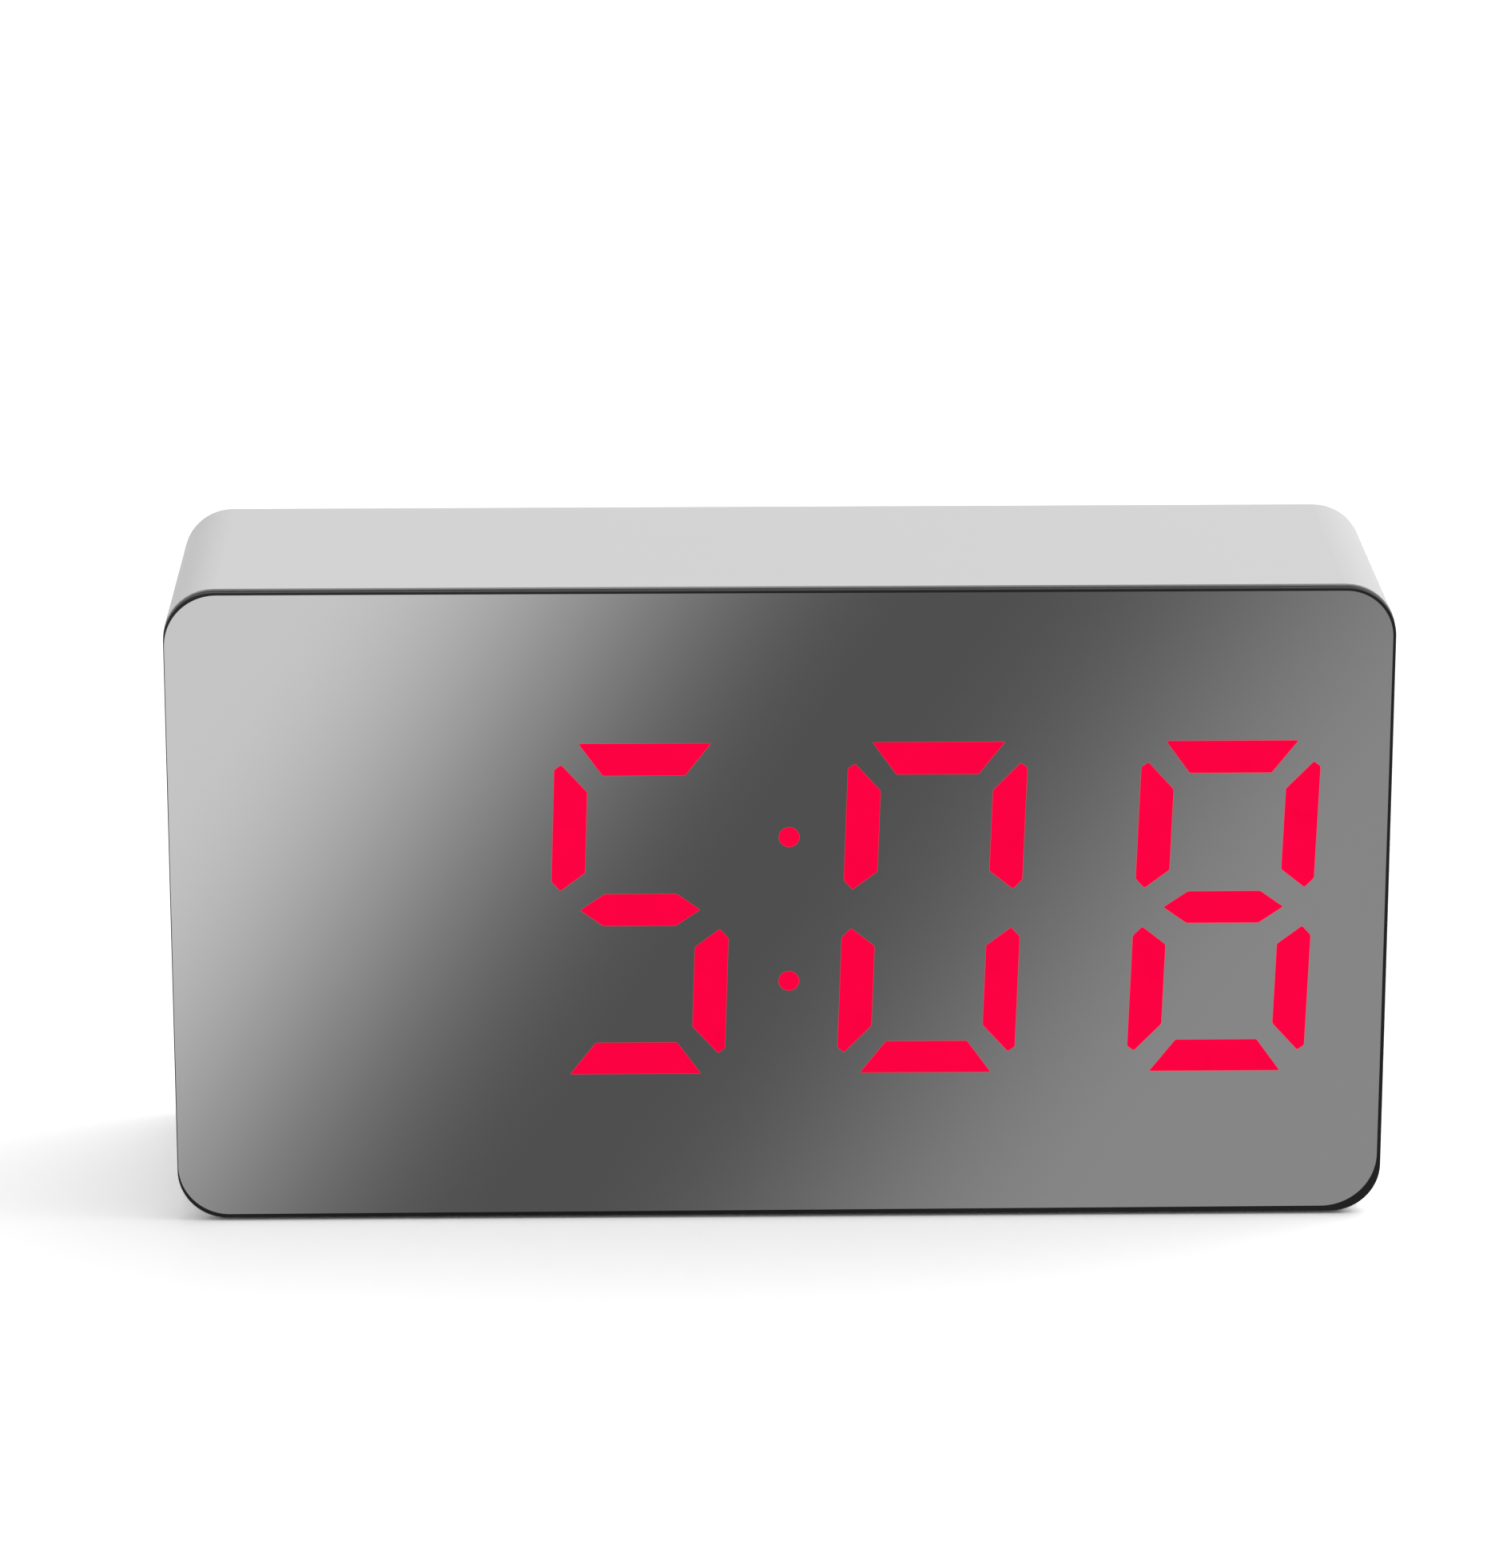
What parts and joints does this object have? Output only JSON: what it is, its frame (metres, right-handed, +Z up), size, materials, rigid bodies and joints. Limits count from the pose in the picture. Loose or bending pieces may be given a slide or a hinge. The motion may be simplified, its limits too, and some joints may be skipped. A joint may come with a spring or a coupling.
{
  "type": "digital desk clock",
  "caption": "Small white desk clock with rounded corners, a half-mirror front with a lit red seven-segment display, back buttons, a power inlet and a hinged battery door.",
  "frame": {"origin": "on the surface that the clock stands on, under the middle of its box", "axes": "+X to the right seen from the front, +Y from the mirror to the back, +Z up"},
  "size_m": [0.105, 0.029, 0.0568],
  "materials": {
    "white_plastic": "fine matte moulded white plastic",
    "button_plastic": "matte light grey plastic",
    "black_plastic": "black moulded plastic",
    "half_mirror": "half-mirror coating on clear acrylic",
    "black_tape": "black foam adhesive tape",
    "reflector_white": "white light-box plastic",
    "lit_red": "milky lens lit from behind in red",
    "dark_lens": "milky lens, unlit behind the mirror",
    "circuit_board": "green solder mask",
    "chip_body": "black moulded component plastic",
    "chip_ceramic": "small ceramic components",
    "can_metal": "drawn metal cans",
    "screw_steel": "zinc-plated steel",
    "contact_nickel": "nickel-plated sheet and spring wire",
    "cell_jacket": "plain printed cell jacket",
    "red_wire": "red insulated wire",
    "black_wire": "black insulated wire",
    "ribbon_grey": "grey ribbon cable",
    "foot_rubber": "dark rubber pad"
  },
  "bodies": {
    "clock_body": {"case": "white_plastic", "front_frame": "black_plastic", "mirror_panel": "half_mirror", "mirror_tape": "black_tape", "reflector": "reflector_white", "digit_2_lit_segments": "lit_red", "digit_3_lit_segments": "lit_red", "digit_4_lit_segments": "lit_red", "colon_dots": "lit_red", "digit_1_dark_segments": "dark_lens", "digit_2_dark_segments": "dark_lens", "digit_3_dark_segment": "dark_lens", "display_board": "circuit_board", "control_board": "circuit_board", "display_driver": "chip_body", "switch_bodies": "chip_body", "buzzer": "chip_body", "inlet_tongue": "chip_body", "led_chips": "chip_ceramic", "chip_resistors": "chip_ceramic", "crystal": "can_metal", "capacitor": "can_metal", "case_screws": "screw_steel", "display_screws": "screw_steel", "control_screws": "screw_steel", "contact_plates": "contact_nickel", "contact_springs": "contact_nickel", "inlet_shell": "contact_nickel", "battery_cells": "cell_jacket", "red_lead": "red_wire", "black_lead": "black_wire", "ribbon_cable": "ribbon_grey", "feet": "foot_rubber"},
    "mode_key": {"mode_button": "button_plastic", "mode_plunger": "chip_body"},
    "set_key": {"set_button": "button_plastic", "set_plunger": "chip_body"},
    "up_key": {"up_button": "button_plastic", "up_plunger": "chip_body"},
    "down_key": {"down_button": "button_plastic", "down_plunger": "chip_body"},
    "door": {"battery_door": "white_plastic"}
  },
  "joints": [
    {"name": "mode_press", "type": "slide", "parent": "clock_body", "child": "mode_key", "axis": [0, -1, 0], "range_m": [0, 0.0003], "stiffness_N_per_m": 600},
    {"name": "set_press", "type": "slide", "parent": "clock_body", "child": "set_key", "axis": [0, -1, 0], "range_m": [0, 0.0003], "stiffness_N_per_m": 600},
    {"name": "up_press", "type": "slide", "parent": "clock_body", "child": "up_key", "axis": [0, -1, 0], "range_m": [0, 0.0003], "stiffness_N_per_m": 600},
    {"name": "down_press", "type": "slide", "parent": "clock_body", "child": "down_key", "axis": [0, -1, 0], "range_m": [0, 0.0003], "stiffness_N_per_m": 600},
    {"name": "battery_door_hinge", "type": "hinge", "parent": "clock_body", "child": "door", "pos_m": [0, 0.0137, 0.0025], "axis": [-1, 0, 0], "range_deg": [0, 85]}
  ]
}
